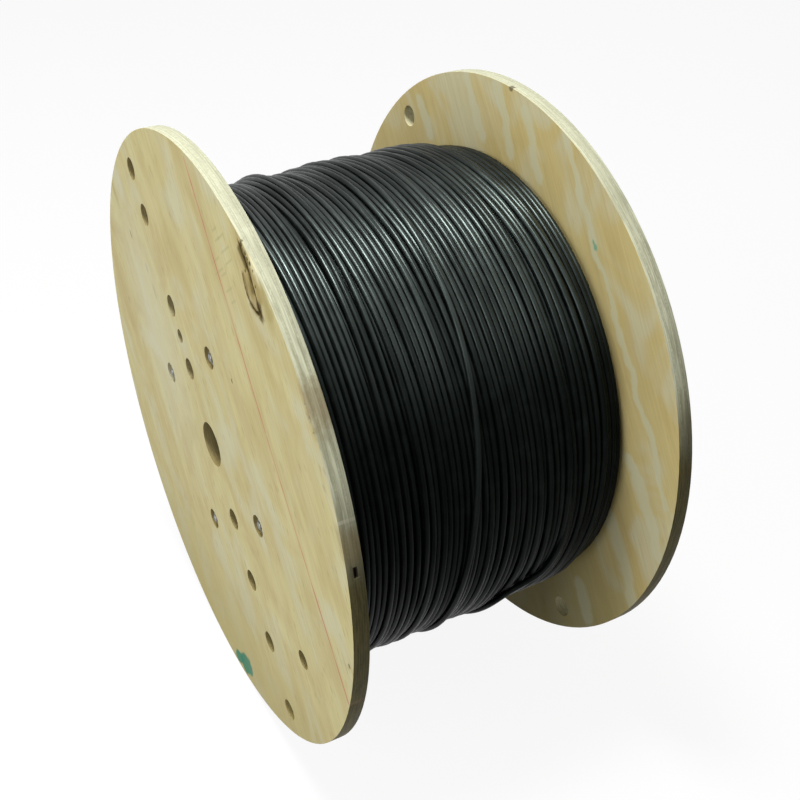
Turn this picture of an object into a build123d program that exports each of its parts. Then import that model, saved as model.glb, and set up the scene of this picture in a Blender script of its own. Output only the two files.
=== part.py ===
from build123d import *
import math
import os

# A plywood cable reel lying on its two rims, wound with round black cable.
# The reel's axis runs along X, the front flange is on the -X side, Z is up, and
# the origin is on the floor under the middle of the reel. Sizes are in millimetres.

# Flanges
flange_dia = 609.6
flange_thick = 14.5
flange_gap = 304.8

# Drum
drum_dia = 254.0
drum_wall = 8.0
drum_seat_depth = 4.0
seat_clearance = 0.2

# Holes through both flanges, and the side hole through the front one alone. Most lie on one
# line through the middle. The drive holes have their own radius, the start and pilot holes
# follow the drum, and the rest follow the rim. The back flange's tie holes are drilled nearer
# the rim than the front one's, and a little round from the line.
hole_row_angle = 126.0
arbor_dia = 46.0
row_hole_dia = 22.0
drive_hole_radius = 77.2
start_hole_gap = 3.0
tie_hole_inset = 27.1
back_tie_inset = 24.0
back_tie_turn = 4.0
upper_hole_inset = 72.8
lower_hole_inset = 99.3
pilot_hole_dia = 14.0
pilot_hole_gap = 1.5
side_hole_dia = 19.0
side_hole_inset = 74.3
side_hole_turn = 26.0

# Clamp bolts inside the drum, with heads in the back flange and nuts in the front flange
bolt_count = 4
bolt_dia = 8.0
bolt_to_drum_gap = 1.5
bolt_hole_clearance = 0.5
bolt_end_below_face = 0.4
bolt_end_chamfer = 0.8
head_dia = 19.0
head_edge_height = 1.4
head_height = 4.6
head_top_dia = 9.0
socket_dia = 22.0
socket_depth = 9.0
nut_across = 13.0
nut_height = 6.5
nut_bore_clearance = 0.2

# Cable winding
cable_dia = 6.1
winding_dia = 485.0
turn_groove_depth = 1.5
winding_clearance = 0.25
back_ridges = 4
bundle_turns = 8
furrow_depth = 5.2
shoulder_drops = (8.0, 6.5, 5.5, 5.0)

flange_radius = flange_dia / 2
drum_radius = drum_dia / 2
drum_bore_radius = drum_radius - drum_wall
bolt_circle_radius = drum_bore_radius - bolt_to_drum_gap - bolt_dia / 2
axis_height = flange_radius
inner_face = flange_gap / 2
outer_face = inner_face + flange_thick
socket_floor = outer_face - socket_depth


def place_on_face(radius, angle):
    """The (y, z) of a point given by radius and angle, as seen from outside the front flange."""
    turn = math.radians(angle)
    return (-radius * math.cos(turn), axis_height + radius * math.sin(turn))


def bar_along_x(dia, start, end, place=(0.0, axis_height)):
    """Round bar from x = start to x = end, centred on place = (y, z)."""
    base = Plane(origin=(start, place[0], place[1]), z_dir=(1, 0, 0))
    return extrude(base * Circle(dia / 2), amount=end - start)


def turned(points, place=(0.0, axis_height)):
    """Solid turned about a line along X through place, from a closed outline of (x, radius)."""
    y, z = place
    outline = Polyline(*[(x, y, z + radius) for x, radius in points], close=True)
    return revolve(make_face(outline), axis=Axis((0, y, z), (1, 0, 0)))


def hole_places(side):
    """Drilled holes of one flange as (diameter, radius, angle), the arbor hole first."""
    up_row = hole_row_angle
    down_row = hole_row_angle + 180
    start_hole_radius = drum_radius + start_hole_gap + row_hole_dia / 2
    pilot_hole_radius = drum_bore_radius - pilot_hole_gap - pilot_hole_dia / 2
    tie_radius, tie_turn = flange_radius - tie_hole_inset, 0.0
    if side > 0:
        tie_radius, tie_turn = flange_radius - back_tie_inset, back_tie_turn
    holes = [(arbor_dia, 0.0, 0.0)]
    for radius, turn in ((drive_hole_radius, 0), (start_hole_radius, 0), (tie_radius, tie_turn)):
        holes += [(row_hole_dia, radius, up_row + turn), (row_hole_dia, radius, down_row + turn)]
    holes.append((row_hole_dia, flange_radius - upper_hole_inset, up_row))
    holes.append((row_hole_dia, flange_radius - lower_hole_inset, down_row))
    holes.append((pilot_hole_dia, pilot_hole_radius, up_row))
    if side < 0:
        holes.append((side_hole_dia, flange_radius - side_hole_inset, down_row + side_hole_turn))
    return holes


def bolt_places():
    """The bolts stand evenly on their circle, the first one half a step past the hole row."""
    step = 360 / bolt_count
    return [place_on_face(bolt_circle_radius, hole_row_angle + step * (i + 0.5))
            for i in range(bolt_count)]


def make_flange(side):
    """Plywood disc; side is -1 for the front flange and +1 for the back flange."""
    low, high = sorted((side * inner_face, side * outer_face))
    disc = bar_along_x(flange_dia, low, high)
    for dia, radius, angle in hole_places(side):
        disc -= bar_along_x(dia, low - 1, high + 1, place_on_face(radius, angle))
    seat_in = drum_bore_radius - seat_clearance
    seat_out = drum_radius + seat_clearance
    mouth = side * (inner_face - 1)
    floor = side * (inner_face + drum_seat_depth)
    disc -= turned([(mouth, seat_in), (mouth, seat_out), (floor, seat_out), (floor, seat_in)])
    socket_low, socket_high = sorted((side * socket_floor, side * (outer_face + 1)))
    for place in bolt_places():
        disc -= bar_along_x(bolt_dia + bolt_hole_clearance, low - 1, high + 1, place)
        disc -= bar_along_x(socket_dia, socket_low, socket_high, place)
    return disc


def make_drum():
    """Fibre tube that stands in the ring grooves of both flanges."""
    end = inner_face + drum_seat_depth - seat_clearance
    tube = bar_along_x(drum_dia, -end, end)
    return tube - bar_along_x(2 * drum_bore_radius, -end - 1, end + 1)


def make_bolt(place):
    """Bolt with a low domed head on the back socket's floor; its end stands in the front socket."""
    tip = bolt_end_below_face - outer_face
    outline = [(tip, 0), (tip, bolt_dia / 2 - bolt_end_chamfer),
               (tip + bolt_end_chamfer, bolt_dia / 2), (socket_floor, bolt_dia / 2),
               (socket_floor, head_dia / 2), (socket_floor + head_edge_height, head_dia / 2),
               (socket_floor + head_height, head_top_dia / 2), (socket_floor + head_height, 0)]
    return turned(outline, place)


def make_nut(place):
    """Hexagon nut on the floor of a front socket."""
    y, z = place
    seat = Plane(origin=(-socket_floor, y, z), x_dir=(0, 1, 0), z_dir=(-1, 0, 0))
    nut = extrude(seat * RegularPolygon(nut_across / 2, 6, major_radius=False), amount=nut_height)
    bore = bolt_dia + nut_bore_clearance
    return nut - bar_along_x(bore, -socket_floor - nut_height - 1, -socket_floor + 1, place)


def crest_radius(turn, turns):
    """Outer radius of one turn of the outer layer; the last turns step down at the back flange."""
    from_back = turns - 1 - turn
    drop = shoulder_drops[from_back] if from_back < len(shoulder_drops) else 0.0
    return winding_dia / 2 - drop


def make_winding():
    """The wound cable, one turned solid. Bundles of turns are plain at mid-ridge height, with a
    furrow where two bundles part, and the last turns stand as ridges at the back flange."""
    length = flange_gap - 2 * winding_clearance
    turns = round(length / cable_dia)
    pitch = length / turns
    start = -length / 2
    bore_radius = drum_radius + winding_clearance
    plain_radius = (winding_dia - turn_groove_depth) / 2
    outline = [(start, bore_radius), (start, plain_radius)]
    for turn in range(bundle_turns, turns - back_ridges - 1, bundle_turns):
        middle = start + pitch * turn
        outline += [(middle - pitch / 2, plain_radius), (middle, plain_radius - furrow_depth),
                    (middle + pitch / 2, plain_radius)]
    outline.append((start + pitch * (turns - back_ridges - 0.5), plain_radius))
    for turn in range(turns - back_ridges, turns):
        left = start + pitch * turn
        crest = crest_radius(turn, turns)
        outline += [(left, crest - turn_groove_depth), (left + pitch / 2, crest)]
    outline.append((start + length, crest_radius(turns - 1, turns) - turn_groove_depth))
    outline.append((start + length, bore_radius))
    return turned(outline)


parts = {
    "front_flange": make_flange(-1),
    "back_flange": make_flange(+1),
    "drum_tube": make_drum(),
    "cable_winding": make_winding(),
}
for number, bolt_place in enumerate(bolt_places(), start=1):
    parts[f"clamp_bolt_{number}"] = make_bolt(bolt_place)
    parts[f"clamp_nut_{number}"] = make_nut(bolt_place)

os.makedirs("parts", exist_ok=True)
for name, solid in parts.items():
    export_step(solid, f"parts/{name}.step")
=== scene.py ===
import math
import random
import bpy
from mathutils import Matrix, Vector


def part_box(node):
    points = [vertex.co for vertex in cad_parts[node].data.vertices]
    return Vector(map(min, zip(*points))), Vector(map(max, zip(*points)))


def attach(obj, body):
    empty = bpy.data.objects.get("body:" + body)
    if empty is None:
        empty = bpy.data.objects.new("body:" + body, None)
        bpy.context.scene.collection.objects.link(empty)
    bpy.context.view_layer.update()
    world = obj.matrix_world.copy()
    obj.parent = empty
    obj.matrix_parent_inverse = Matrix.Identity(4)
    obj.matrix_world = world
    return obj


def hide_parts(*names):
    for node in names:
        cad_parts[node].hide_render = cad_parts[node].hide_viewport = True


bl_info = {
    "name": "Cable Reel",
    "version": (1, 0, 0),
    "blender": (4, 5, 0),
    "location": "View3D > Sidebar > Reel",
    "description": "Dresses a plywood reel: veneered flanges, wound cable, clamp bolts and drum",
    "category": "Object",
}

from typing import NamedTuple

import bmesh
import bpy
import numpy as np
from bpy.props import (
    FloatProperty, FloatVectorProperty, IntProperty, PointerProperty,
)
from mathutils import Matrix, Vector

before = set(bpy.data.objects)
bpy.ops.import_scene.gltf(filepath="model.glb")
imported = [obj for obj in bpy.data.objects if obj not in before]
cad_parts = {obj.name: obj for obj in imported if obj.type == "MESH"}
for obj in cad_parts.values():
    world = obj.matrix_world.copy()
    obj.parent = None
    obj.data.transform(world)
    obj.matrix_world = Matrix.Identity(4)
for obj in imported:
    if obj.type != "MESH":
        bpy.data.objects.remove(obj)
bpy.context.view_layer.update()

# Sizes read from the frame, in metres. The reel's axis runs along X, its front face is at -X.
front_low, front_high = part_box("front_flange")
back_low, back_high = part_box("back_flange")
drum_low, drum_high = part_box("drum_tube")
winding_low, winding_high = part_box("cable_winding")
AXIS = Vector((0.0, 0.0, (front_low.z + front_high.z) / 2))
FLANGE_RADIUS = (front_high.z - front_low.z) / 2
FLANGE_THICK = front_high.x - front_low.x
INNER_FACE = back_low.x
OUTER_FACE = back_high.x
DRUM_RADIUS = (drum_high.z - drum_low.z) / 2
WINDING_RADIUS = (winding_high.z - winding_low.z) / 2
BOLT_COUNT = 4
# Degrees that the face grain is turned about the axis, so that it runs along the row of holes
GRAIN_TURN = 126.0
# Middle and half thickness of a crossband, measured from the board's middle in shares of its
# thickness
CROSSBAND_MIDDLE = 0.235
CROSSBAND_HALF = 0.075
# Length over which a drawn line fades at its ends
STROKE_END = 0.004


def on_face(right, up):
    """(y, z) of a point on a flange, right and up from its middle as seen from the front."""
    return (-right, AXIS.z + up)


def new_object(name, data):
    """A new object in the scene, at the origin."""
    thing = bpy.data.objects.new(name, data)
    bpy.context.scene.collection.objects.link(thing)
    return thing


def drop_object(thing):
    """Removes a working object, and its mesh where nothing else uses it."""
    mesh = thing.data
    bpy.data.objects.remove(thing)
    if mesh.users == 0:
        bpy.data.meshes.remove(mesh)


def plain_mesh(thing, name):
    """The evaluated object as a plain mesh, with the working object removed."""
    bpy.context.view_layer.update()
    graph = bpy.context.evaluated_depsgraph_get()
    mesh = bpy.data.meshes.new_from_object(thing.evaluated_get(graph), depsgraph=graph)
    mesh.name = name
    thing.modifiers.clear()
    drop_object(thing)
    return mesh


def smooth_with_sharp_edges(mesh, degrees):
    """Shades a mesh smooth, apart from edges sharper than an angle."""
    mesh.polygons.foreach_set("use_smooth", [True] * len(mesh.polygons))
    mesh.set_sharp_from_angle(angle=math.radians(degrees))


def keep_faces_flat(mesh):
    """Marks the edges of a board's two flat faces as sharp, so that they shade as flat."""
    work = bmesh.new()
    work.from_mesh(mesh)
    for edge in work.edges:
        if any(abs(face.normal.x) > 0.9999 for face in edge.link_faces):
            edge.smooth = False
    work.to_mesh(mesh)
    work.free()


def seat(piece, slot, *nodes):
    """Puts a finished piece on the reel in place of its CAD nodes."""
    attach(piece, "root")
    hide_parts(*nodes)


class Shader:
    """Adds and joins the nodes of one material, or of the world."""

    def __init__(self, holder):
        holder.use_nodes = True
        self.tree = holder.node_tree
        self.tree.nodes.clear()

    def add(self, kind, inputs=None, **settings):
        """A new node with its settings made, and its inputs set or joined."""
        node = self.tree.nodes.new(kind)
        for key, value in settings.items():
            setattr(node, key, value)
        for key, value in (inputs or {}).items():
            if isinstance(value, bpy.types.NodeSocket):
                self.tree.links.new(value, node.inputs[key])
            else:
                node.inputs[key].default_value = value
        return node

    def math(self, operation, *values):
        return self.add("ShaderNodeMath", dict(enumerate(values)), operation=operation).outputs[0]

    def plus(self, first, second):
        return self.math("ADD", first, second)

    def minus(self, first, second):
        return self.math("SUBTRACT", first, second)

    def times(self, first, second):
        return self.math("MULTIPLY", first, second)

    def larger(self, first, second):
        return self.math("MAXIMUM", first, second)

    def size_of(self, value):
        return self.math("ABSOLUTE", value)

    def strayed(self, value, noise, reach):
        """A value moved up and down by a noise."""
        return self.plus(value, self.times(self.minus(noise, 0.5), reach))

    def vector_math(self, operation, *values, output=0):
        node = self.add("ShaderNodeVectorMath", dict(enumerate(values)), operation=operation)
        return node.outputs[output]

    def dot(self, vector, direction):
        return self.vector_math("DOT_PRODUCT", vector, direction, output="Value")

    def length(self, vector):
        return self.vector_math("LENGTH", vector, output="Value")

    def scaled(self, vector, scale):
        return self.vector_math("MULTIPLY", vector, scale)

    def part_of(self, vector, axis):
        return self.add("ShaderNodeSeparateXYZ", {0: vector}).outputs[axis]

    def turned(self, vector, degrees, scale=(1, 1, 1), move=(0, 0, 0)):
        """The vector turned about X, then scaled and moved."""
        spun = self.add("ShaderNodeMapping", {"Vector": vector,
                        "Rotation": (math.radians(degrees), 0, 0)}).outputs[0]
        return self.add("ShaderNodeMapping", {"Vector": spun, "Scale": scale,
                        "Location": move}).outputs[0]

    def noise(self, vector, scale, detail=2.0, roughness=0.5, distortion=0.0, output="Fac"):
        node = self.add("ShaderNodeTexNoise", {"Vector": vector, "Scale": scale,
                        "Detail": detail, "Roughness": roughness, "Distortion": distortion})
        return node.outputs[output]

    def stretched(self, vector, scale, *texture):
        """Noise with a scale of its own on each axis."""
        return self.noise(self.scaled(vector, scale), 1.0, *texture)

    def span(self, value, low, high, to_low=0.0, to_high=1.0, smooth=True):
        node = self.add("ShaderNodeMapRange", {"Value": value, "From Min": low, "From Max": high,
                        "To Min": to_low, "To Max": to_high})
        node.interpolation_type = "SMOOTHSTEP" if smooth else "LINEAR"
        return node.outputs[0]

    def between(self, share, first, second):
        """A value between two others."""
        return self.add("ShaderNodeMix", {0: share, 2: first, 3: second}).outputs[0]

    def mix(self, share, first, second, blend="MIX"):
        """A colour between two others, each a socket or plain red, green and blue."""
        first, second = (value if isinstance(value, bpy.types.NodeSocket) else (*value, 1)
                         for value in (first, second))
        node = self.add("ShaderNodeMix", {0: share, 6: first, 7: second}, data_type="RGBA",
                        blend_type=blend)
        return node.outputs[2]

    def dyed(self, colour, dye):
        return self.mix(1.0, colour, dye, blend="MULTIPLY")


class Finish(Shader):
    """One material of the reel, whose patterns follow places on the reel in metres."""

    def __init__(self, name):
        self.material = bpy.data.materials.new(name)
        super().__init__(self.material)
        self.point = self.add("ShaderNodeTexCoord").outputs["Object"]
        self.x = self.part_of(self.point, 0)
        self.z = self.part_of(self.point, 2)

    def away_from(self, place):
        return self.vector_math("SUBTRACT", self.point, tuple(place))

    def outward(self):
        """The way from the reel's axis to the point, square to the axis."""
        return self.scaled(self.away_from(AXIS), (0, 1, 1))

    def spot(self, place, half_long, half_wide, wobble=0.0, soft=0.35):
        """Mask of one blot on a face: place is (right, up); the blot lies along the grain."""
        away = self.away_from((0, *on_face(*place)))
        lain = self.turned(away, GRAIN_TURN, scale=(0, 1 / half_long, 1 / half_wide))
        distance = self.length(lain)
        if wobble:
            distance = self.strayed(distance, self.noise(self.point, 90.0, 3.0, 0.6), wobble)
        return self.span(distance, 1.0, 1.0 - soft)

    def stroke(self, start, end, half_wide, soft=0.5, wobble=0.0):
        """Mask of a drawn line on a face from start to end, both (right, up)."""
        right, up = end[0] - start[0], end[1] - start[1]
        length = math.hypot(right, up)
        away = self.away_from((0, *on_face((start[0] + end[0]) / 2, (start[1] + end[1]) / 2)))
        run = self.dot(away, (0, -right / length, up / length))
        side = self.dot(away, (0, up / length, right / length))
        if wobble:
            side = self.strayed(side, self.noise(self.point, 14.0, 1.0), wobble)
        across = self.span(self.size_of(side), half_wide, half_wide * (1 - soft))
        ends = self.span(self.size_of(run), length / 2, length / 2 - STROKE_END)
        return self.times(across, ends)

    def bar(self, point, start, end, half_wide):
        """Soft mask of a round-ended bar on a face from start to end, both (right, up)."""
        begin, stop = Vector((0, *on_face(*start))), Vector((0, *on_face(*end)))
        along = (stop - begin).normalized()
        away = self.vector_math("SUBTRACT", point, tuple(begin))
        run = self.larger(self.dot(away, tuple(along)), 0.0)
        run = self.math("MINIMUM", run, (stop - begin).length)
        reach = self.add("ShaderNodeVectorMath", {0: tuple(along), "Scale": run}, operation="SCALE")
        gap = self.vector_math("DISTANCE", self.scaled(away, (0, 1, 1)), reach.outputs[0], output="Value")
        return self.span(gap, half_wide, half_wide * 0.45)

    def stains(self, rows):
        """Marks of a table, as (mask, colour, strength); see KNOT_STAINS for its rows."""
        marks = []
        for *shape, colour, strength in rows:
            drawn = self.stroke if isinstance(shape[1], tuple) else self.spot
            marks.append((drawn(*shape), colour, strength))
        return marks

    def finish(self, inputs, height, depth, strength):
        """Ends the material in one Principled BSDF with its bump."""
        bump = self.add("ShaderNodeBump", {"Height": height, "Distance": depth, "Strength": strength})
        surface = self.add("ShaderNodeBsdfPrincipled", {**inputs, "Normal": bump.outputs[0]})
        self.add("ShaderNodeOutputMaterial", {"Surface": surface.outputs[0]})
        return self.material


def length_property(name, description, default):
    return FloatProperty(name=name, description=description, default=default, unit="LENGTH",
                         subtype="DISTANCE")


def colour_property(name, description, default):
    return FloatVectorProperty(name=name, description=description, default=default,
                               subtype="COLOR", size=3, min=0, max=1)


def count_property(name, description, default, least):
    return IntProperty(name=name, description=description, default=default, min=least)


class BoardSettings(bpy.types.PropertyGroup):
    grain_turn: FloatProperty(
        name="Grain Turn", description="How far the face grain is turned about the axis",
        default=math.radians(GRAIN_TURN), subtype="ANGLE", unit="ROTATION")
    edge_round: length_property("Edge Round", "Radius worn onto the rims and the hole mouths", 0.0007)
    pale_wood: colour_property(
        "Pale Wood", "Colour of the soft early growth in the veneer", (0.61, 0.545, 0.285))
    warm_wood: colour_property(
        "Warm Wood", "Colour of the denser late growth in the veneer", (0.49, 0.395, 0.170))
    chalk: colour_property(
        "Chalk Line", "Colour of the snapped line across the front face", (0.42, 0.12, 0.06))
    paint: colour_property("Paint Stain", "Colour of the green paint at the edge", (0.02, 0.17, 0.10))


class CableSettings(bpy.types.PropertyGroup):
    diameter: length_property("Cable Diameter", "Outside diameter of the jacket", 0.0060)
    outer_turns: count_property("Outer Turns", "Turns in the layer on top", 44, 4)
    under_turns: count_property("Under Turns", "Turns in the layer below it", 49, 12)
    points: count_property("Points per Turn", "Points along one turn", 104, 24)
    sides: count_property("Sides", "Sides of the cable's round section", 10, 6)
    wander: length_property("Wander", "How far a turn strays along the reel", 0.0026)
    heave: length_property("Heave", "How far neighbouring turns rise and sink past each other", 0.0015)
    proud: length_property("Proud", "How far the crests stand above the plain winding", 0.0004)
    seed: count_property("Seed", "Which winding of many is made", 11, 0)
    # Painted highlight: the jacket's specular level is raised on the reel's upper side.
    painted_sheen: FloatProperty(
        name="Sheen", description="Specular level of the jacket on the reel's upper side",
        default=0.62, min=0, max=1)
    jacket: colour_property("Jacket", "Colour of the cable's jacket", (0.0042, 0.0056, 0.0050))


class StageSettings(bpy.types.PropertyGroup):
    floor_size: length_property("Floor Size", "Length of the floor's sides", 14.0)
    floor_colour: colour_property("Floor Colour", "Colour of the plain floor", (0.5, 0.5, 0.5))
    key_power: FloatProperty(
        name="Key Power", description="Power of the soft lamp overhead", default=62.0,
        unit="POWER")
    fill_power: FloatProperty(
        name="Fill Power", description="Power of the soft lamp at the left", default=40.0,
        unit="POWER")
    ambient: FloatProperty(
        name="Ambient", description="Strength of the even light all round", default=0.13,
        min=0)


def veneer(shader, settings, board):
    """Colour and height of one sliced face: growth bands that part round the knots, fibres and
    blotches."""
    lain = shader.turned(shader.away_from(AXIS), math.degrees(settings.grain_turn),
                         move=(0, board.seed, 2 * board.seed))
    field = shader.noise(shader.scaled(lain, (0.2, 2.0, 5.5)), 1.9, 2.0, 0.5, 0.5)
    for place, reach, swell in board.knots:
        near = shader.spot(place, reach, reach * 0.6, soft=1.0)
        field = shader.plus(field, shader.times(near, swell))
    bands = shader.math("PINGPONG", shader.times(field, board.bands), 1.0)
    fibre = shader.stretched(lain, (30.0, 12.0, 420.0), 3.0, 0.6)
    streak = shader.stretched(lain, (6.0, 9.0, 70.0), 2.0, 0.55)
    blotch = shader.stretched(lain, (1.0, 9.0, 18.0), 3.0, 0.55)
    fleck = shader.stretched(lain, (1.0, 60.0, 330.0), 1.0)
    grey = shader.stretched(lain, (1.0, 10.0, 15.0), 2.0, 0.5, 1.0)
    growth = shader.plus(shader.times(shader.span(bands, 0.1, 0.9), 0.36),
                         shader.times(shader.span(streak, 0.3, 0.7), 0.24))
    growth = shader.plus(growth, shader.times(shader.span(blotch, 0.3, 0.7), 0.4))
    growth = shader.span(growth, 0.0, 1.0, 0.5 - board.contrast / 2, 0.5 + board.contrast / 2,
                         smooth=False)
    colour = shader.dyed(shader.mix(growth, settings.pale_wood, settings.warm_wood), board.tint)
    colour = shader.mix(shader.span(grey, 0.46, 0.70, 0.0, 0.6), colour, (0.57, 0.56, 0.39))
    colour = shader.mix(shader.span(grey, 0.46, 0.28, 0.0, 0.45 * board.contrast), colour,
                        (0.45, 0.35, 0.15))
    colour = shader.mix(shader.span(fleck, 0.64, 0.74, 0.0, board.flecks), colour, (0.30, 0.22, 0.09))
    shade = shader.span(fibre, 0.3, 0.7, 0.92, 1.05, smooth=False)
    shade = shader.add("ShaderNodeCombineColor", {0: shade, 1: shade, 2: shade}).outputs[0]
    height = shader.plus(shader.times(fibre, 0.6), shader.times(bands, 0.4))
    return shader.dyed(colour, shade), height


def ply_edges(shader, settings, board):
    """Colour and height of the sawn edges: five plies, their glue lines, end and long grain, and painted
    shade on the lower rim and in the front board's holes.
    """
    depth = shader.math("DIVIDE", shader.minus(shader.size_of(shader.x), INNER_FACE), FLANGE_THICK)
    depth = shader.strayed(depth, shader.noise(shader.point, 22.0, 2.0), 0.07)
    from_core = shader.size_of(shader.minus(depth, 0.5))
    from_band = shader.size_of(shader.minus(from_core, CROSSBAND_MIDDLE))
    crossband = shader.span(from_band, CROSSBAND_HALF, CROSSBAND_HALF - 0.01)
    from_glue = shader.size_of(shader.minus(from_band, CROSSBAND_HALF))
    glue = shader.span(from_glue, 0.018, 0.006)
    outward = shader.outward()
    turn = settings.grain_turn
    along = shader.dot(shader.vector_math("NORMALIZE", outward), (0, math.cos(turn), -math.sin(turn)))
    end_on = shader.times(along, along)
    end_grain = shader.between(crossband, end_on, shader.minus(1.0, end_on))
    grit = shader.noise(shader.point, 420.0, 3.0, 0.65)
    long_fibre = shader.stretched(shader.point, (900.0, 30.0, 30.0))
    texture = shader.between(end_grain, long_fibre, grit)
    base = shader.mix(end_grain, (0.67, 0.68, 0.50), (0.58, 0.59, 0.43))
    dark = shader.mix(shader.span(texture, 0.35, 0.7), (0.80, 0.79, 0.76), (1.05, 1.05, 1.02))
    colour = shader.dyed(base, dark)
    cloud = shader.stretched(shader.point, (260.0, 26.0, 26.0), 3.0, 0.6)
    cloud = shader.times(shader.span(cloud, 0.48, 0.66), shader.span(shader.z, 0.60, 0.53, 0.1, 0.75))
    colour = shader.mix(cloud, colour, (0.35, 0.345, 0.225))
    # Painted shade: the rim turns dark olive-brown towards the bottom, mottled.
    painted_shade_mottle = shader.stretched(shader.point, (300.0, 40.0, 40.0), 3.0, 0.6)
    painted_shade_tone = shader.mix(shader.span(painted_shade_mottle, 0.3, 0.7), (0.110, 0.090, 0.024), (0.052, 0.042, 0.008))
    colour = shader.mix(shader.span(shader.z, 0.46, 0.36, 0.0, 0.97), colour, shader.dyed(painted_shade_tone, dark))
    # The hole walls take the board's bore colour; the front board's dark one is painted shade.
    wall = shader.span(shader.length(outward), FLANGE_RADIUS - 0.004, FLANGE_RADIUS - 0.006)
    colour = shader.mix(wall, colour, shader.dyed(board.bore_tone_and_shade, dark))
    colour = shader.mix(shader.times(glue, 0.38), colour, (0.20, 0.17, 0.09))
    return colour, shader.minus(texture, shader.times(glue, 0.6))


def board_material(name, settings, board):
    """Plywood: veneer on the faces, plies on the sawn edges, and the marks of one board."""
    shader = Finish(name)
    face_colour, face_height = veneer(shader, settings, board)
    edge_colour, edge_height = ply_edges(shader, settings, board)
    normal = shader.add("ShaderNodeNewGeometry").outputs["Normal"]
    on_edge = shader.span(shader.size_of(shader.part_of(normal, 0)), 0.85, 0.6)
    colour = shader.mix(on_edge, face_colour, edge_colour)
    for mask, mark_colour, strength in board.marks(shader, settings):
        colour = shader.mix(shader.times(mask, strength), colour, mark_colour)
    height = shader.between(on_edge, face_height, edge_height)
    rough = shader.span(height, 0.2, 0.8, 0.66, 0.50)
    return shader.finish({"Base Color": colour, "Roughness": rough, "IOR": 1.45,
                          "Specular IOR Level": 0.14}, height, 0.0004, 0.4)


# Stains of the open knot at the board's edge. In this table and those like it, a row is a blot,
# as its middle, half length along the grain, half width, raggedness and softness, or a line, as
# its two ends, half width, softness and raggedness; then come colour and strength. Places are
# (right, up), and a row may leave out what its shape doesn't need.
KNOT_STAINS = (
    ((0.132, 0.254), 0.046, 0.026, 0.9, 0.8, (0.42, 0.31, 0.12), 0.5),
    ((0.167, 0.243), 0.029, 0.014, 0.9, 0.9, (0.36, 0.29, 0.095), 0.8),
    ((0.137, 0.242), 0.021, 0.010, 0.9, 0.8, (0.27, 0.20, 0.062), 0.75),
    ((0.145, 0.265), 0.017, 0.0070, 0.9, 0.6, (0.74, 0.68, 0.42), 0.85),
    ((0.150, 0.250), 0.020, 0.0085, 0.9, 0.8, (0.34, 0.26, 0.085), 0.85),
    ((0.1150, 0.2740), (0.134, 0.2590), 0.0085, 0.6, 0.004, (0.12, 0.090, 0.022), 0.95),
    ((0.133, 0.2635), (0.1415, 0.2400), 0.0055, 0.7, 0.004, (0.15, 0.11, 0.028), 0.9),
    ((0.1525, 0.2325), 0.011, 0.0085, 1.2, 0.6, (0.090, 0.060, 0.014), 0.95),
    ((0.1195, 0.253), (0.132, 0.231), 0.0046, 0.8, 0.006, (0.20, 0.14, 0.042), 0.85),
    ((0.130, 0.2315), (0.149, 0.228), 0.0050, 0.8, 0.006, (0.15, 0.105, 0.027), 0.85),
)
# Near black of the knot's bark, used deep in its cracks and pits, where it is also painted shade
BARK_AND_SHADE = (0.045, 0.029, 0.007)
# Greying and small stains of the front face
WEATHERING = (((-0.150, 0.060), 0.22, 0.11, 0.5, 1.0, (0.61, 0.60, 0.43), 0.55),)
FRONT_STAINS = (
    ((0.232, 0.197), 0.034, 0.008, 1.2, 0.8, (0.22, 0.15, 0.06), 0.6),
    ((0.289, 0.100), 0.030, 0.010, 0.9, 0.8, (0.26, 0.19, 0.08), 0.5),
    ((0.262, 0.135), (0.284, 0.117), 0.0009, (0.66, 0.63, 0.48), 0.4),
    ((-0.198, 0.139), 0.006, 0.002, 0.8, (0.17, 0.17, 0.08), 0.8),
    ((0.075, 0.122), 0.003, 0.002, 0.5, (0.10, 0.08, 0.04), 0.85),
    ((-0.154, 0.122), 0.008, 0.005, 0.8, 0.8, (0.36, 0.35, 0.30), 0.5),
    ((0.297, -0.019), 0.003, 0.002, 0.5, (0.09, 0.10, 0.06), 0.85),
    ((-0.240, 0.170), 0.026, 0.008, 1.0, 0.9, (0.36, 0.31, 0.12), 0.6),
    ((-0.136, 0.103), 0.015, 0.006, 1.0, 0.9, (0.38, 0.36, 0.18), 0.5),
)
BACK_STAINS = (
    ((0.1505, 0.2085), 0.0046, 0.0036, 1.2, 0.7, (0.11, 0.36, 0.24), 0.8),
    ((0.1465, 0.2120), 0.0034, 0.0018, 1.2, 0.7, (0.11, 0.36, 0.24), 0.8),
)
# The two blots of green paint at the front board's foot, without colour and strength
PAINT_BLOTS = (((0.043, -0.281), 0.016, 0.023, 0.7, 0.25),
               ((0.022, -0.290), 0.009, 0.017, 0.7, 0.25))
# The snapped line across the front face, as two runs
SNAPPED_LINE = (((0.003, 0.302), (0.148, 0.112)), ((0.147, 0.113), (0.297, -0.070)))
# Short marks that the slicing left across the grain: their middles
CHATTER = ((0.070, 0.256), (0.078, 0.262), (0.086, 0.254), (0.064, 0.262), (0.092, 0.246),
           (0.068, 0.226), (0.078, 0.228), (0.088, 0.219), (0.060, 0.232), (0.096, 0.212))
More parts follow.
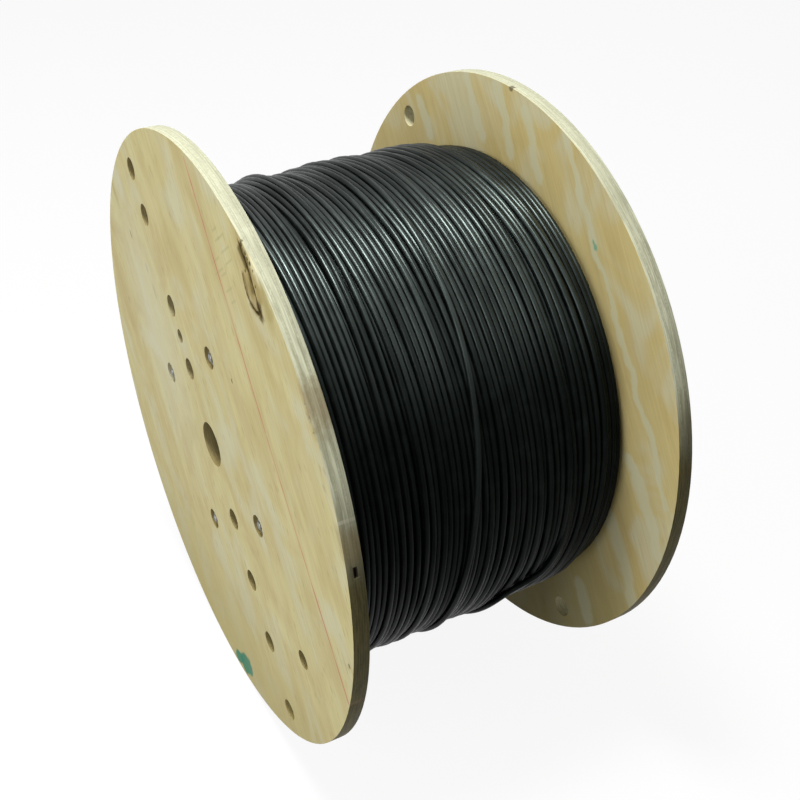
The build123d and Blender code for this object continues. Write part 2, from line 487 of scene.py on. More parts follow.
# Pale growth that runs down the back board: two ends and half the width
PALE_RUNS = (((0.088, 0.297), (0.123, 0.247), 0.006), ((0.121, 0.250), (0.155, 0.201), 0.006),
             ((0.153, 0.204), (0.190, 0.155), 0.005), ((0.188, 0.158), (0.233, 0.102), 0.006),
             ((0.231, 0.104), (0.265, 0.060), 0.006), ((0.263, 0.063), (0.296, 0.014), 0.006),
             ((0.030, 0.292), (0.058, 0.237), 0.008), ((-0.072, 0.291), (-0.037, 0.242), 0.009),
             ((-0.020, 0.300), (0.010, 0.245), 0.010), ((0.238, 0.032), (0.264, 0.006), 0.008),
             ((0.262, 0.008), (0.297, -0.040), 0.010), ((0.228, -0.048), (0.254, -0.082), 0.014),
             ((0.252, -0.080), (0.280, -0.116), 0.014), ((0.205, -0.165), (0.222, -0.188), 0.016),
             ((-0.160, 0.240), (-0.135, 0.212), 0.010))


def chatter_rows():
    """The slicing marks, as rows of a table of stains."""
    rows = []
    for number, (right, up) in enumerate(CHATTER):
        reach = 0.007 + 0.002 * (number % 3)
        rows.append(((right - reach, up - 0.8 * reach), (right + reach, up + 0.8 * reach),
                     0.0018, 0.9, (0.36, 0.34, 0.16), 0.42))
    return rows


def snapped(shader, dust, *shape):
    """Mask of the snapped line, which the dust breaks up."""
    upper, lower = (shader.stroke(*run, *shape) for run in SNAPPED_LINE)
    return shader.times(shader.larger(upper, lower), dust)


def front_marks(shader, settings):
    """Marks on the front board, as (mask, colour, strength), with painted shade in the knot's cracks and
    pits and in the rim's void.
    """
    # The board is darker towards the bottom.
    darker_towards_bottom = shader.span(shader.z, 0.20, 0.02)
    skin = shader.span(shader.x, 0.0014 - OUTER_FACE, 0.0008 - OUTER_FACE)
    knot = [(shader.times(skin, mask), colour, strength)
            for mask, colour, strength in shader.stains(KNOT_STAINS)]
    # Painted shade with bark: near black deep in the knot's cracks and pits; the mask also reaches the
    # same spot on the board's inner face.
    cavity = shader.span(shader.x, 0.0003 - OUTER_FACE, 0.0008 - OUTER_FACE)
    shaded_hollow = shader.times(cavity, shader.spot((0.0, 0.0), 0.3, 0.3, soft=0.005))
    shaded_hollow = shader.times(shaded_hollow, shader.spot((0.138, 0.254), 0.06, 0.05, soft=0.1))
    dust = shader.span(shader.noise(shader.point, 35.0, 2.0), 0.3, 0.75, 0.35, 1.0)
    # Painted shade: near black in and around the void in the rim.
    from_middle = shader.size_of(shader.plus(shader.x, INNER_FACE + FLANGE_THICK / 2))
    void = shader.times(shader.span(from_middle, 0.0022, 0.0016),
                        shader.spot(rim_place(VOID_ANGLE, 0.003), 0.006, 0.006, soft=0.15))
    return [
        *shader.stains(WEATHERING),
        (darker_towards_bottom, (0.38, 0.32, 0.125), 0.7),
        *shader.stains(chatter_rows()),
        *knot,
        (shaded_hollow, BARK_AND_SHADE, 0.95),
        (snapped(shader, dust, 0.006, 0.9), (0.55, 0.33, 0.19), 0.4),
        (snapped(shader, dust, 0.0013, 0.5, 0.002), settings.chalk, 0.95),
        *shader.stains([(*shape, settings.paint, 0.92) for shape in PAINT_BLOTS]),
        *shader.stains(FRONT_STAINS),
        (void, (0.02, 0.014, 0.008), 0.97),
    ]


def back_marks(shader, _settings):
    """Marks on the back board, as (mask, colour, strength), with a painted shadow of the winding low on
    its inner face.
    """
    stray = shader.noise(shader.point, 32.0, 3.0, output="Color")
    shift = shader.vector_math("SUBTRACT", stray, (0.5, 0.5, 0.5))
    ragged = shader.vector_math("ADD", shader.point, shader.scaled(shift, (0.022,) * 3))
    pale = 0.0
    for run in PALE_RUNS:
        pale = shader.larger(pale, shader.bar(ragged, *run))
    # Painted shadow of the winding: the inner face darker below the axis.
    down = shader.span(shader.z, AXIS.z - 0.05, AXIS.z - 0.24)
    inside = shader.span(shader.x, INNER_FACE + 0.001, INNER_FACE)
    inner_ply = shader.span(shader.x, INNER_FACE + 0.0045, INNER_FACE + 0.0030)
    nick = shader.spot((0.004, 0.304), 0.004, 0.004, 0.8)
    return [
        (shader.times(down, inside), (0.30, 0.26, 0.095), 0.6),
        (shader.times(pale, inside), (0.56, 0.56, 0.38), 0.62),
        *shader.stains(BACK_STAINS),
        (shader.times(inner_ply, nick), (0.14, 0.12, 0.07), 0.85),
    ]


class Board(NamedTuple):
    """What sets one board apart: its noise seed, knots, banding, flecks, tint, the colour of
    its holes' walls, which on the front board is painted shade, and its marks."""
    seed: float
    knots: tuple
    bands: float
    contrast: float
    flecks: float
    tint: tuple
    bore_tone_and_shade: tuple
    marks: object


# A knot is its place as (right, up), its reach, and how far it swells the growth bands
BOARDS = {
    "front_flange": Board(
        seed=0.0, bands=9.0, contrast=1.0, flecks=0.4, tint=(0.98, 1.0, 1.0),
        # The front board's dark bore colour is painted shade in its holes.
        bore_tone_and_shade=(0.30, 0.24, 0.10), marks=front_marks,
        knots=(((0.136, 0.254), 0.17, 0.30), ((-0.100, -0.120), 0.14, 0.16),
               ((0.210, -0.140), 0.12, -0.14))),
    "back_flange": Board(
        seed=3.7, bands=5.0, contrast=0.55, flecks=0.12, tint=(1.01, 0.965, 0.87),
        bore_tone_and_shade=(0.66, 0.62, 0.40), marks=back_marks, knots=(((0.240, -0.060), 0.12, 0.2),)),
}


# Cracks of the open knot in the front face: points as (right, up, half width) in metres
CRACKS = (
    ((0.1155, 0.2775, 0.0008), (0.119, 0.2725, 0.0020), (0.1245, 0.267, 0.0027),
     (0.129, 0.263, 0.0024), (0.1335, 0.258, 0.0022), (0.139, 0.2515, 0.0016),
     (0.144, 0.244, 0.0015), (0.148, 0.238, 0.0022), (0.1515, 0.233, 0.0030),
     (0.155, 0.228, 0.0012)),
    ((0.1205, 0.250, 0.0006), (0.1225, 0.243, 0.0012), (0.126, 0.236, 0.0014),
     (0.132, 0.2315, 0.0016), (0.139, 0.229, 0.0018), (0.1455, 0.2285, 0.0022),
     (0.151, 0.230, 0.0012)),
)
# Pits around it: right, up, half width
PITS = ((0.1225, 0.2765, 0.0022), (0.1295, 0.2715, 0.0015), (0.1375, 0.2665, 0.0017),
        (0.133, 0.2685, 0.0012), (0.1425, 0.2625, 0.0012), (0.127, 0.255, 0.0011),
        (0.146, 0.251, 0.0011), (0.236, 0.188, 0.0014), (0.229, 0.196, 0.0011),
        (0.243, 0.179, 0.0010))
CRACK_STEPS = 20
CRACK_SIDES = 8
# The open void in the rim: its angle from the right, and its half width
VOID_ANGLE = 15.2
VOID_HALF = 0.0016


def rim_place(angle, inset=0.0):
    """(right, up) of a point at an angle on the rim, moved in by inset."""
    reach, turn = FLANGE_RADIUS - inset, math.radians(angle)
    return (reach * math.cos(turn), reach * math.sin(turn))


def add_crack(work, crack):
    """A closed tube along one crack, given by points as (right, up, half width)."""
    out = Vector((1, 0, 0))
    rings = []
    for step, (right, up, half) in enumerate(crack):
        before, after = crack[max(step - 1, 0)], crack[min(step + 1, len(crack) - 1)]
        along = Vector((0, before[0] - after[0], after[1] - before[1])).normalized()
        side = along.cross(out)
        centre = Vector((-OUTER_FACE, *on_face(right, up)))
        rings.append([work.verts.new(centre + side * (half * math.cos(turn))
                                     + out * (1.3 * half * math.sin(turn)))
                      for turn in (math.tau * i / CRACK_SIDES for i in range(CRACK_SIDES))])
    for low, high in zip(rings, rings[1:]):
        for i in range(CRACK_SIDES):
            j = (i + 1) % CRACK_SIDES
            work.faces.new((low[i], low[j], high[j], high[i]))
    work.faces.new(rings[0][::-1])
    work.faces.new(rings[-1])


def add_pit(work, x, place, half, stretch):
    """A closed pit at a face point (right, up), its half width stretched along each axis."""
    moved = Matrix.Translation((x, *on_face(*place)))
    bmesh.ops.create_icosphere(work, subdivisions=2, radius=half,
                               matrix=moved @ Matrix.Diagonal((*stretch, 1)))


def knot_cutter():
    """Closed meshes of the cracks and pits of the knot, and of the open void in the rim."""
    work = bmesh.new()
    draw = random.Random(4)
    for stops in CRACKS:
        add_crack(work, [(right + draw.uniform(-0.25, 0.25) * half,
                          up + draw.uniform(-0.25, 0.25) * half,
                          half * draw.uniform(0.65, 1.3))
                         for right, up, half in smoothed(stops, CRACK_STEPS, 1)])
    for right, up, half in PITS:
        add_pit(work, -OUTER_FACE, (right, up), half, (1.1, 1, 1.5))
    add_pit(work, -INNER_FACE - FLANGE_THICK / 2, rim_place(VOID_ANGLE), VOID_HALF, (1, 2.8, 3.2))
    bmesh.ops.recalc_face_normals(work, faces=work.faces)
    mesh = bpy.data.meshes.new("knot_cutter")
    work.to_mesh(mesh)
    work.free()
    return mesh


def with_knot(mesh):
    """The front board with its open knot and the void in its rim cut out."""
    board, cutter = new_object("board", mesh), new_object("knot_cutter", knot_cutter())
    cut = board.modifiers.new("Knot", "BOOLEAN")
    cut.operation = "DIFFERENCE"
    cut.solver = "EXACT"
    cut.use_self = True
    cut.object = cutter
    result = plain_mesh(board, mesh.name)
    drop_object(cutter)
    return result


def worn_board(node, settings):
    """A copy of the flange with its loose triangles joined, its flat faces made whole, and its
    sharp rims and hole mouths worn round."""
    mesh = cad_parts[node].data.copy()
    work = bmesh.new()
    work.from_mesh(mesh)
    bmesh.ops.remove_doubles(work, verts=work.verts, dist=1e-6)
    bmesh.ops.dissolve_limit(work, angle_limit=math.radians(0.5), verts=work.verts, edges=work.edges)
    sharp = [edge for edge in work.edges
             if len(edge.link_faces) == 2 and edge.calc_face_angle() > math.radians(60)]
    bmesh.ops.bevel(work, geom=sharp, offset=settings.edge_round, segments=2, profile=0.5,
                    affect="EDGES", clamp_overlap=True)
    work.to_mesh(mesh)
    work.free()
    mesh.materials.clear()
    return mesh


class REEL_OT_boards(bpy.types.Operator):
    """Make the two plywood flanges with their veneer, plies, holes and marks"""
    bl_idname = "reel.boards"
    bl_label = "Make Boards"

    def execute(self, context):
        settings = context.scene.reel_board
        for node, board in BOARDS.items():
            mesh = worn_board(node, settings)
            if node == "front_flange":
                mesh = with_knot(mesh)
            mesh.name = f"{node}_board"
            mesh.materials.append(board_material(f"{node}_plywood", settings, board))
            smooth_with_sharp_edges(mesh, 40)
            keep_faces_flat(mesh)
            seat(new_object(f"{node}_board", mesh), "plywood", node)
        return {"FINISHED"}


def jacket_material(settings):
    """Black jacket with a little dust. Its specular level is painted by place: high on the reel's upper
    side as a painted highlight and low below it as painted shade; strands that stand proud are lighter on
    top, scuffed and painted as a highlight."""
    shader = Finish("cable_jacket")
    dust = shader.noise(shader.point, 60.0, 3.0, 0.6)
    scuff = shader.noise(shader.point, 480.0, 2.0, 0.6)
    strand = shader.stretched(shader.point, (150.0, 9.0, 9.0), 2.0, 0.6)
    outward = shader.outward()
    radial = shader.vector_math("NORMALIZE", outward)
    # Painted highlight with scuffing: the outer half of strands that stand proud is lighter.
    proud = shader.span(shader.length(outward), WINDING_RADIUS + 0.0028, WINDING_RADIUS + 0.0050)
    colour = shader.mix(shader.span(dust, 0.45, 0.8, 0.0, 0.5), settings.jacket, (0.014, 0.019, 0.017))
    colour = shader.mix(shader.span(scuff, 0.74, 0.80, 0.0, 0.25), colour, (0.06, 0.07, 0.06))
    colour = shader.mix(proud, colour, (0.014, 0.018, 0.0165))
    rough = shader.span(dust, 0.25, 0.75, 0.26, 0.38)
    # Painted highlight and shade: the specular level is high on the reel's upper side, low below it, and
    # lower past the top towards the far side.
    upper = shader.span(shader.part_of(radial, 2), 0.47, 0.92, 0.04, settings.painted_sheen)
    painted_sheen_far_fade = shader.span(shader.part_of(radial, 1), -0.30, 0.10, 1.0, 0.22)
    painted_sheen = shader.times(shader.times(upper, painted_sheen_far_fade), shader.span(strand, 0.32, 0.68, 0.5, 1.3))
    return shader.finish({"Base Color": colour, "Roughness": rough, "IOR": 1.5,
                          "Specular IOR Level": painted_sheen, "Specular Tint": (0.80, 1.0, 0.93, 1)},
                         scuff, 0.0001, 0.03)


def sweep_tree():
    """Geometry Nodes that lay a round cable along drawn lines."""
    tree = bpy.data.node_groups.new("Lay Cable", "GeometryNodeTree")
    for name, kind in (("Lines", "Geometry"), ("Diameter", "Float"), ("Sides", "Int"),
                       ("Jacket", "Material")):
        tree.interface.new_socket(name, in_out="INPUT", socket_type=f"NodeSocket{kind}")
    tree.interface.new_socket("Cable", in_out="OUTPUT", socket_type="NodeSocketGeometry")
    add = tree.nodes.new
    start, end = add("NodeGroupInput"), add("NodeGroupOutput")
    curve = add("GeometryNodeMeshToCurve")
    ring = add("GeometryNodeCurvePrimitiveCircle")
    half = add("ShaderNodeMath")
    half.operation = "MULTIPLY"
    half.inputs[1].default_value = 0.5
    body = add("GeometryNodeCurveToMesh")
    body.inputs["Fill Caps"].default_value = True
    smooth = add("GeometryNodeSetShadeSmooth")
    real = add("GeometryNodeRealizeInstances")
    paint = add("GeometryNodeSetMaterial")
    for giver, output, taker, place in (
            (start, "Lines", curve, "Mesh"), (start, "Diameter", half, 0),
            (start, "Sides", ring, "Resolution"), (half, 0, ring, "Radius"),
            (curve, "Curve", body, "Curve"), (ring, "Curve", body, "Profile Curve"),
            (body, "Mesh", smooth, "Geometry"), (smooth, "Geometry", real, "Geometry"),
            (real, "Geometry", paint, "Geometry"), (start, "Jacket", paint, "Material"),
            (paint, "Geometry", end, "Cable")):
        tree.links.new(giver.outputs[output], taker.inputs[place])
    return tree


def laid_cable(tree, lines, diameter, sides, material):
    """Mesh of a cable laid along lines, each a list of points."""
    mesh = bpy.data.meshes.new("lines")
    points = [point for line in lines for point in line]
    edges, first = [], 0
    for line in lines:
        edges += [(first + i, first + i + 1) for i in range(len(line) - 1)]
        first += len(line)
    mesh.from_pydata(points, edges, [])
    thing = new_object("lines", mesh)
    modifier = thing.modifiers.new("Lay Cable", "NODES")
    modifier.node_group = tree
    values = {"Diameter": diameter, "Sides": sides, "Jacket": material}
    for item in tree.interface.items_tree:
        if item.in_out == "INPUT" and item.name in values:
            modifier[item.identifier] = values[item.name]
    return plain_mesh(thing, "laid_cable")


def wave_field(seed, count, slow, fast, swings, turns, angles):
    """Smooth seeded wandering between about -1 and 1, continuous from each turn to the next.
    turns counts along the cable, angles are in radians, and slow to fast are cycles a turn."""
    draw = random.Random(seed)
    total = np.zeros_like(turns)
    for _ in range(count):
        rate = draw.uniform(slow, fast)
        swing = draw.randint(-swings, swings)
        phase = draw.uniform(0, 2 * math.pi)
        total += np.cos(2 * math.pi * rate * turns + swing * angles + phase)
    return total / math.sqrt(count / 2) / 2


def round_the_reel(angles, stops):
    """A value given at a few angles in degrees, eased between them all the way round."""
    places, values = np.array(stops, float).T
    places = np.concatenate((places - 360, places, places + 360))
    degrees = np.arange(-360, 720)
    fine = np.interp(degrees, places, np.tile(values, 3))
    window = np.hanning(25)
    fine = np.convolve(fine, window / window.sum(), mode="same")
    return np.interp(angles, degrees, fine)


def push_apart(places, need, low, high, rounds=160):
    """Moves neighbours in every column apart until each pair has the room that it needs."""
    for _ in range(rounds):
        short = np.maximum(need - (places[1:] - places[:-1]), 0) / 2
        places[:-1] -= short
        places[1:] += short
        places = np.minimum(np.maximum(places, low), high)
    return places


def relaxed(line, rounds):
    """Takes the kinks out of a line, in place; its ends stay."""
    for _ in range(rounds):
        line[1:-1] = (line[:-2] + 2 * line[1:-1] + line[2:]) / 4
    return line


def eased(rows):
    """A layer without kinks; its rows follow each other as one line."""
    return relaxed(rows.reshape(-1), 3).reshape(rows.shape)


def to_points(places, radii, angles):
    """Points from places along the reel, radii and angles in degrees; 0 is the near side."""
    turn = np.radians(angles)
    return np.stack((places, -radii * np.cos(turn), AXIS.z + radii * np.sin(turn)), axis=-1)


# Where the top layer ends beside the back flange: angle in degrees, metres from the front face
LAYER_END = ((-150, 0.288), (-100, 0.294), (-40, 0.297), (30, 0.296), (65, 0.293),
             (84, 0.287), (100, 0.280), (140, 0.281))
# Loose strands on the top layer: metres from the front face, angle, layers above the top one.
# The first climbs across its neighbours, the second is a small bight near the back flange.
LOOSE = (
    ((0.171, 150, -1.0), (0.171, 132, 0.1), (0.171, 112, 0.55), (0.172, 92, 0.6),
     (0.173, 76, 0.6), (0.1725, 60, 0.62), (0.170, 47, 0.75), (0.165, 36, 0.95),
     (0.158, 22, 1.0), (0.150, 8, 1.0), (0.1445, -4, 1.0), (0.142, -16, 0.9),
     (0.1415, -30, 0.7), (0.143, -44, 0.6), (0.145, -60, 0.5), (0.146, -80, 0.1),
     (0.146, -100, -0.9)),
    ((0.257, 14, -0.9), (0.2565, 4, -0.3), (0.255, -5, 0.3), (0.252, -12, 0.7),
     (0.247, -17.5, 0.95), (0.241, -20.5, 1.0), (0.234, -22, 1.0), (0.226, -23, 1.0),
     (0.218, -24, 1.0), (0.210, -26, 1.0), (0.203, -30, 1.0), (0.199, -37, 0.9),
     (0.197, -48, 0.6), (0.196, -62, 0.1), (0.195, -78, -0.9)),
)
# Swells of the top layer: metres from the front face, angle, half length, half angle, height
SWELLS = ((0.055, 110, 0.012, 40, 0.0018), (0.086, 112, 0.008, 35, -0.0020),
          (0.099, 110, 0.006, 35, 0.0026), (0.124, 112, 0.015, 35, -0.0030),
          (0.160, 105, 0.011, 40, 0.0024), (0.176, 110, 0.005, 30, -0.0010),
          (0.196, 105, 0.008, 35, 0.0020), (0.218, 110, 0.009, 30, -0.0016),
          (0.252, 100, 0.018, 45, 0.0024), (0.060, -30, 0.020, 40, -0.0012),
          (0.150, -40, 0.016, 35, 0.0012))
# Partings between turns: metres from the front face, angle, half angle, width of the gap
PARTINGS = ((0.117, 48, 24, 0.0032), (0.161, 84, 18, 0.0034), (0.192, 72, 20, 0.0036),
            (0.098, 62, 26, 0.0024), (0.082, 92, 22, 0.0028), (0.138, 22, 28, 0.0022),
            (0.230, 52, 32, 0.0024), (0.262, 80, 26, 0.0028), (0.060, 28, 32, 0.0020),
            (0.205, -22, 30, 0.0024), (0.120, -36, 26, 0.0022), (0.272, 16, 30, 0.0022))
# Furrows between bundles of turns, as on the plain winding: metres from the front face
FURROWS = (0.0634, 0.1121, 0.1608, 0.2095, 0.2582)
# Slow swell of the top layer, stray of the layer below, and how far that sinks at the back
# flange, in metres
SLOW_SWELL = 0.0009
UNDER_STRAY = 0.0004
UNDER_SINK = 0.0050
# Depths below the crest in cable diameters: of the layer below, of the core, and of the top
# layer's ends, which come up over some degrees. A loose strand's layer is a little flatter.
UNDER_DEPTH = 0.87
CORE_DEPTH = 2.6
TUCK_DEPTH = 1.6
TUCK_ANGLE = 30
STRAND_LAYER = 0.9
# The last turns of the layer below show beside the back flange; the others are made plainer
SHOWN_TURNS = 8
HIDDEN_POINTS = 60
HIDDEN_SIDES = 6
# The core's sides, and its clearance from the drum and the flanges
CORE_SIDES = 96
CORE_GAP = 0.00025


def around(angles, angle):
    """Degrees round the reel from an angle, between -180 and 180."""
    return np.mod(angles - angle + 180, 360) - 180


def swell_height(places, angles):
    """Height of the listed swells at places along the reel."""
    total = np.zeros_like(places)
    for place, angle, half_length, half_angle, height in SWELLS:
        along = (places - (place - OUTER_FACE)) / half_length
        total += height * np.exp(-along ** 2 - (around(angles, angle) / half_angle) ** 2)
    return total


def parted(places, angles, seed):
    """Moves the turns away from each parting and sinks those beside it: (moved, sunk)."""
    draw = random.Random(seed)
    marks = [(place, angle, half_angle, gap, 0.0) for place, angle, half_angle, gap in PARTINGS]
    marks += [(draw.uniform(0.03, 0.28), draw.uniform(120, 300), draw.uniform(20, 45),
               draw.uniform(0.0015, 0.0032), 0.0) for _ in range(16)]
    marks += [(place, draw.uniform(0, 360), 400, 0.0016, 0.0022) for place in FURROWS]
    moved, sunk = places.copy(), np.zeros_like(places)
    for place, angle, half_angle, gap, sway in marks:
        turned = around(angles, angle)
        middle = place - OUTER_FACE + sway * np.sin(np.radians(turned) * 2)
        share = np.exp(-(turned / half_angle) ** 2)
        away = places - middle
        moved += gap / 2 * share * np.tanh(away / 0.0015) * np.exp(-np.abs(away) / 0.012)
        sunk += 0.35 * gap * share * np.exp(-(away / 0.004) ** 2)
    return moved, sunk


def smoothed(stops, steps, rounds):
    """A drawn line through stops, with its corners taken out."""
    stops = np.array(stops)
    at = np.linspace(0, len(stops) - 1, steps)
    line = np.stack([np.interp(at, np.arange(len(stops)), stops[:, i]) for i in range(3)], 1)
    return relaxed(line, rounds)


def top_layer(settings):
    """Lines of the top layer: its turns in one run, then the loose strands on it."""
    width = settings.diameter
    count, points = settings.outer_turns, settings.points
    row, column = np.meshgrid(np.arange(count), np.arange(points), indexing="ij")
    turns = row + column / points
    angles = -180 + 360 * column / points
    radians = np.radians(angles)
    low = -INNER_FACE + width / 2
    high = round_the_reel(angles[0], LAYER_END) - OUTER_FACE - width / 2
    places = low + (high - low) * (turns / count)
    places += settings.wander * wave_field(settings.seed, 30, 0.02, 0.12, 3, turns, radians)
    places += 0.6 * settings.wander * wave_field(settings.seed + 1, 40, 0.2, 0.5, 4, turns, radians)
    lift = SLOW_SWELL * wave_field(settings.seed + 2, 24, 0.02, 0.10, 2, turns, radians)
    lift += settings.heave * wave_field(settings.seed + 3, 40, 0.28, 0.5, 3, turns, radians)
    places, sunk = parted(places, angles, settings.seed)
    lift += swell_height(places, angles) - sunk
    rise = np.minimum(np.abs(np.diff(lift, axis=0)), width * 0.6)
    places = push_apart(places, width * np.sqrt(1 - (rise / width) ** 2), low, high[None, :])
    places, lift = eased(places), eased(lift)

    crest = WINDING_RADIUS + settings.proud - width / 2
    tuck = np.clip(np.minimum(turns, count - turns) * 360 / TUCK_ANGLE, 0, 1)
    radii = crest + lift - (1 - tuck) * TUCK_DEPTH * width
    lines = [to_points(places, radii, angles).reshape(-1, 3).tolist()]
    for stops in LOOSE:
        place, angle, layer = smoothed(stops, 130, 20).T
        lines.append(to_points(place - OUTER_FACE, crest + layer * STRAND_LAYER * width, angle).tolist())
    return lines


def under_layer(settings, first, last, points):
    """Line of some turns of the layer below, which shows in gaps and at the back flange."""
    width = settings.diameter
    total = settings.under_turns
    steps = np.arange((last - first) * points + 1)
    turns = first + steps / points
    angles = 180 - 360 * (turns % 1)
    low, high = -INNER_FACE + width / 2, INNER_FACE - width / 2
    places = low + (high - low) * turns / total
    places += UNDER_STRAY * wave_field(settings.seed + 5, 20, 0.02, 0.4, 3, turns, np.radians(angles))
    places = np.clip(places, low, high)
    from_back = (high - places) / width
    sunk = UNDER_SINK * np.exp(-from_back / 1.3)
    radii = WINDING_RADIUS - width / 2 - UNDER_DEPTH * width - sunk
    return to_points(places, radii, angles).tolist()


def core_mesh(settings):
    """Closed turned body below the layers, down to the drum."""
    outside = WINDING_RADIUS - CORE_DEPTH * settings.diameter
    inside = DRUM_RADIUS + CORE_GAP
    reach = INNER_FACE - CORE_GAP
    corners = [(-reach, inside), (-reach, outside), (reach, outside), (reach, inside)]
    points, faces = [], []
    for step in range(CORE_SIDES):
        turn = 2 * math.pi * step / CORE_SIDES
        points += [(x, radius * math.cos(turn), AXIS.z + radius * math.sin(turn))
                   for x, radius in corners]
        here, there = step * 4, (step + 1) % CORE_SIDES * 4
        faces += [(here + i, here + (i + 1) % 4, there + (i + 1) % 4, there + i) for i in range(4)]
    mesh = bpy.data.meshes.new("winding_core")
    mesh.from_pydata(points, [], faces)
    return mesh


def joined(name, meshes, material):
    """One mesh of several, all in one material."""
    work = bmesh.new()
    for mesh in meshes:
        work.from_mesh(mesh)
        bpy.data.meshes.remove(mesh)
    bmesh.ops.recalc_face_normals(work, faces=work.faces)
    mesh = bpy.data.meshes.new(name)
    work.to_mesh(mesh)
    work.free()
    mesh.materials.append(material)
    mesh.polygons.foreach_set("material_index", [0] * len(mesh.polygons))
    return mesh


class REEL_OT_winding(bpy.types.Operator):
    """Wind the cable on the drum, with its irregular top layer and the layer below"""
    bl_idname = "reel.winding"
    bl_label = "Wind Cable"

    def execute(self, context):
        settings = context.scene.reel_cable
        material = jacket_material(settings)
        tree = sweep_tree()
        hidden = settings.under_turns - SHOWN_TURNS
        shown_line = under_layer(settings, hidden, settings.under_turns, settings.points)
        hidden_line = under_layer(settings, 0, hidden, HIDDEN_POINTS)
        layers = [laid_cable(tree, lines, settings.diameter, sides, material)
                  for lines, sides in ((top_layer(settings), settings.sides),
                                       ([shown_line], settings.sides),
                                       ([hidden_line], HIDDEN_SIDES))]
        mesh = joined("wound_cable", [*layers, core_mesh(settings)], material)
        smooth_with_sharp_edges(mesh, 60)
        seat(new_object("wound_cable", mesh), "cable_jacket", "cable_winding")
        return {"FINISHED"}


def zinc_material():
    """Zinc-plated steel, dulled and a little mottled."""
    shader = Finish("zinc_steel")
    mottle = shader.noise(shader.point, 300.0, 3.0, 0.6)
    colour = shader.mix(shader.span(mottle, 0.3, 0.7, smooth=False), (0.13, 0.13, 0.12),
                        (0.30, 0.30, 0.28))
    rough = shader.span(mottle, 0.3, 0.7, 0.42, 0.62)
    return shader.finish({"Base Color": colour, "Roughness": rough, "Metallic": 1.0}, mottle, 0.0002, 0.3)


def fibre_material():
    """Brown fibreboard of the drum, clouded and flecked."""
    shader = Finish("fibre_tube")
    flecks = shader.noise(shader.point, 260.0, 4.0, 0.6)
    cloud = shader.noise(shader.point, 12.0, 2.0)
    colour = shader.mix(cloud, (0.30, 0.21, 0.12), (0.38, 0.28, 0.17))
    colour = shader.mix(shader.span(flecks, 0.5, 0.8, 0.0, 0.4), colour, (0.20, 0.14, 0.08))
    return shader.finish({"Base Color": colour, "Roughness": 0.85}, flecks, 0.0002, 0.4)


def dress(name, material):
    """Gives a CAD node its finish."""
    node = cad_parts[name]
    node.data.materials.clear()
    node.data.materials.append(material)


class REEL_OT_hardware(bpy.types.Operator):
    """Finish the clamp bolts and nuts and the drum inside the winding"""
    bl_idname = "reel.hardware"
    bl_label = "Finish Bolts and Drum"

    def execute(self, context):
        zinc = zinc_material()
        for number in range(1, BOLT_COUNT + 1):
            for kind in ("clamp_bolt", "clamp_nut"):
                dress(f"{kind}_{number}", zinc)
        dress("drum_tube", fibre_material())
        return {"FINISHED"}


# How far the floor shows as plain white where it is seen
FLOOR_WHITE = 0.91
# Lamps and camera: places in metres, turns in degrees, lens and sensor in millimetres
KEY_PLACE = (-0.40, 0.35, 2.75)
KEY_SIZE = 0.62
FILL_PLACE = (-2.4, -0.5, 1.35)
FILL_SIZE = 1.6
CAMERA_PLACE = (-0.4228, -0.8053, 0.9569)
CAMERA_TILT = 52.91
CAMERA_TURN = -27.51
CAMERA_LENS = 48.316
CAMERA_SHIFT = (0.05115, 0.03256)
SENSOR_WIDTH = 36.0


def seen_ray(shader):
    """1 for a ray from the camera and for one that shows in gloss or through glass."""
    path = shader.add("ShaderNodeLightPath").outputs
    return shader.larger(path["Is Camera Ray"],
                         shader.larger(path["Is Glossy Ray"], path["Is Transmission Ray"]))


def floor_material(settings):
    """Pale floor that shows white to the camera and in gloss, and keeps a soft shadow."""
    material = bpy.data.materials.new("pale_floor")
    shader = Shader(material)
    seen = seen_ray(shader)
    colour = shader.mix(seen, settings.floor_colour, (0.95, 0.95, 0.95))
    matt = shader.add("ShaderNodeBsdfDiffuse", {"Color": colour})
    white = shader.add("ShaderNodeEmission", {"Color": (1, 1, 1, 1), "Strength": 1.0})
    blend = shader.add("ShaderNodeMixShader", {0: shader.times(seen, FLOOR_WHITE),
                       1: matt.outputs[0], 2: white.outputs[0]})
    shader.add("ShaderNodeOutputMaterial", {"Surface": blend.outputs[0]})
    return material


def floor_mesh(settings):
    """Square floor under the reel."""
    half = settings.floor_size / 2
    mesh = bpy.data.meshes.new("floor")
    mesh.from_pydata([(-half, -half, 0), (half, -half, 0), (half, half, 0), (-half, half, 0)],
                     [], [(0, 1, 2, 3)])
    mesh.materials.append(floor_material(settings))
    return mesh


def soft_lamp(name, place, size, power):
    """Square area lamp that faces the middle of the reel."""
    data = bpy.data.lights.new(name, "AREA")
    data.shape = "SQUARE"
    data.size = size
    data.energy = power
    lamp = new_object(name, data)
    lamp.location = place
    lamp.rotation_euler = (AXIS - Vector(place)).to_track_quat("-Z", "Y").to_euler()


def studio_world(ambient):
    """Even light all round, which shows as white where it is seen."""
    world = bpy.data.worlds.new("studio")
    shader = Shader(world)
    strength = shader.span(seen_ray(shader), 0.0, 1.0, ambient, 1.0, smooth=False)
    sky = shader.add("ShaderNodeBackground", {"Color": (1, 1, 1, 1), "Strength": strength})
    shader.add("ShaderNodeOutputWorld", {"Surface": sky.outputs[0]})
    bpy.context.scene.world = world


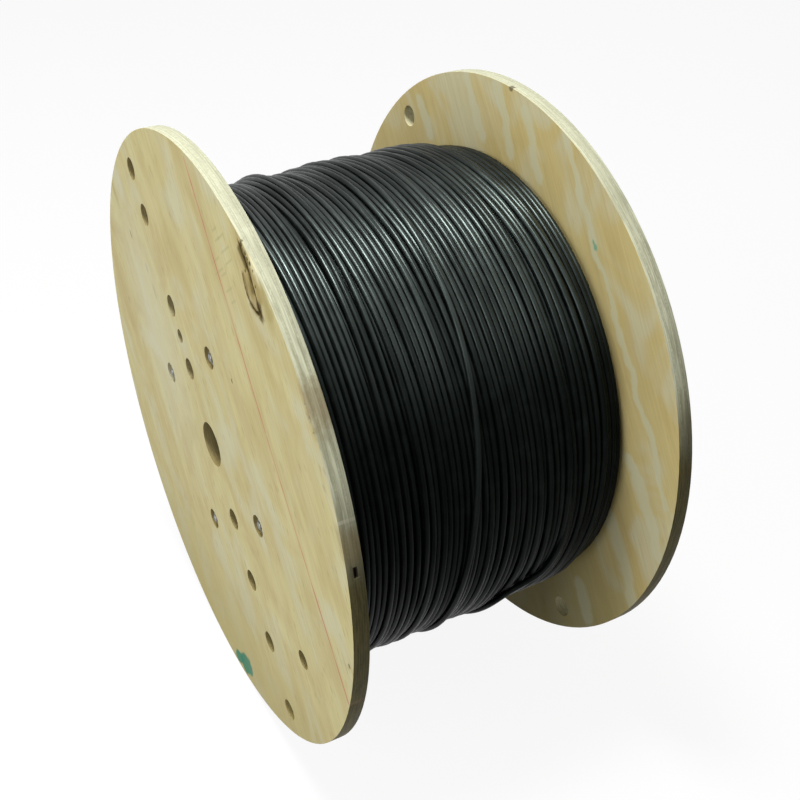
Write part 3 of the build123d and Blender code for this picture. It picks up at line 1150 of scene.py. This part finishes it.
def photo_camera():
    """Camera at the photograph's angle."""
    data = bpy.data.cameras.new("photo_camera")
    data.lens = CAMERA_LENS
    data.sensor_width = SENSOR_WIDTH
    data.shift_x, data.shift_y = CAMERA_SHIFT
    camera = new_object("photo_camera", data)
    camera.location = CAMERA_PLACE
    camera.rotation_euler = (math.radians(CAMERA_TILT), 0, math.radians(CAMERA_TURN))
    bpy.context.scene.camera = camera


class REEL_OT_stage(bpy.types.Operator):
    """Set the pale floor, the soft lamps and the camera"""
    bl_idname = "reel.stage"
    bl_label = "Set Stage"

    def execute(self, context):
        settings = context.scene.reel_stage
        new_object("floor", floor_mesh(settings))
        soft_lamp("key_lamp", KEY_PLACE, KEY_SIZE, settings.key_power)
        soft_lamp("fill_lamp", FILL_PLACE, FILL_SIZE, settings.fill_power)
        studio_world(settings.ambient)
        photo_camera()
        context.scene.view_settings.view_transform = "Standard"
        return {"FINISHED"}


class REEL_PT_panel(bpy.types.Panel):
    """Steps that dress the reel"""
    bl_label = "Cable Reel"
    bl_idname = "REEL_PT_panel"
    bl_space_type = "VIEW_3D"
    bl_region_type = "UI"
    bl_category = "Reel"

    def draw(self, context):
        for operator in OPERATORS:
            self.layout.operator(operator.bl_idname)
        for group in ("reel_board", "reel_cable", "reel_stage"):
            settings = getattr(context.scene, group)
            for name in settings.__annotations__:
                self.layout.prop(settings, name)


GROUPS = {"reel_board": BoardSettings, "reel_cable": CableSettings, "reel_stage": StageSettings}
OPERATORS = (REEL_OT_boards, REEL_OT_winding, REEL_OT_hardware, REEL_OT_stage)


def register():
    """Registers the settings, the operators and the panel."""
    for name, group in GROUPS.items():
        bpy.utils.register_class(group)
        setattr(bpy.types.Scene, name, PointerProperty(type=group))
    for operator in OPERATORS:
        bpy.utils.register_class(operator)
    bpy.utils.register_class(REEL_PT_panel)


def unregister():
    """Takes them all away again."""
    bpy.utils.unregister_class(REEL_PT_panel)
    for operator in reversed(OPERATORS):
        bpy.utils.unregister_class(operator)
    for name, group in GROUPS.items():
        delattr(bpy.types.Scene, name)
        bpy.utils.unregister_class(group)


def main():
    """Dresses the reel."""
    register()
    bpy.ops.reel.boards()
    bpy.ops.reel.winding()
    bpy.ops.reel.hardware()
    bpy.ops.reel.stage()


if __name__ == "__main__":
    main()
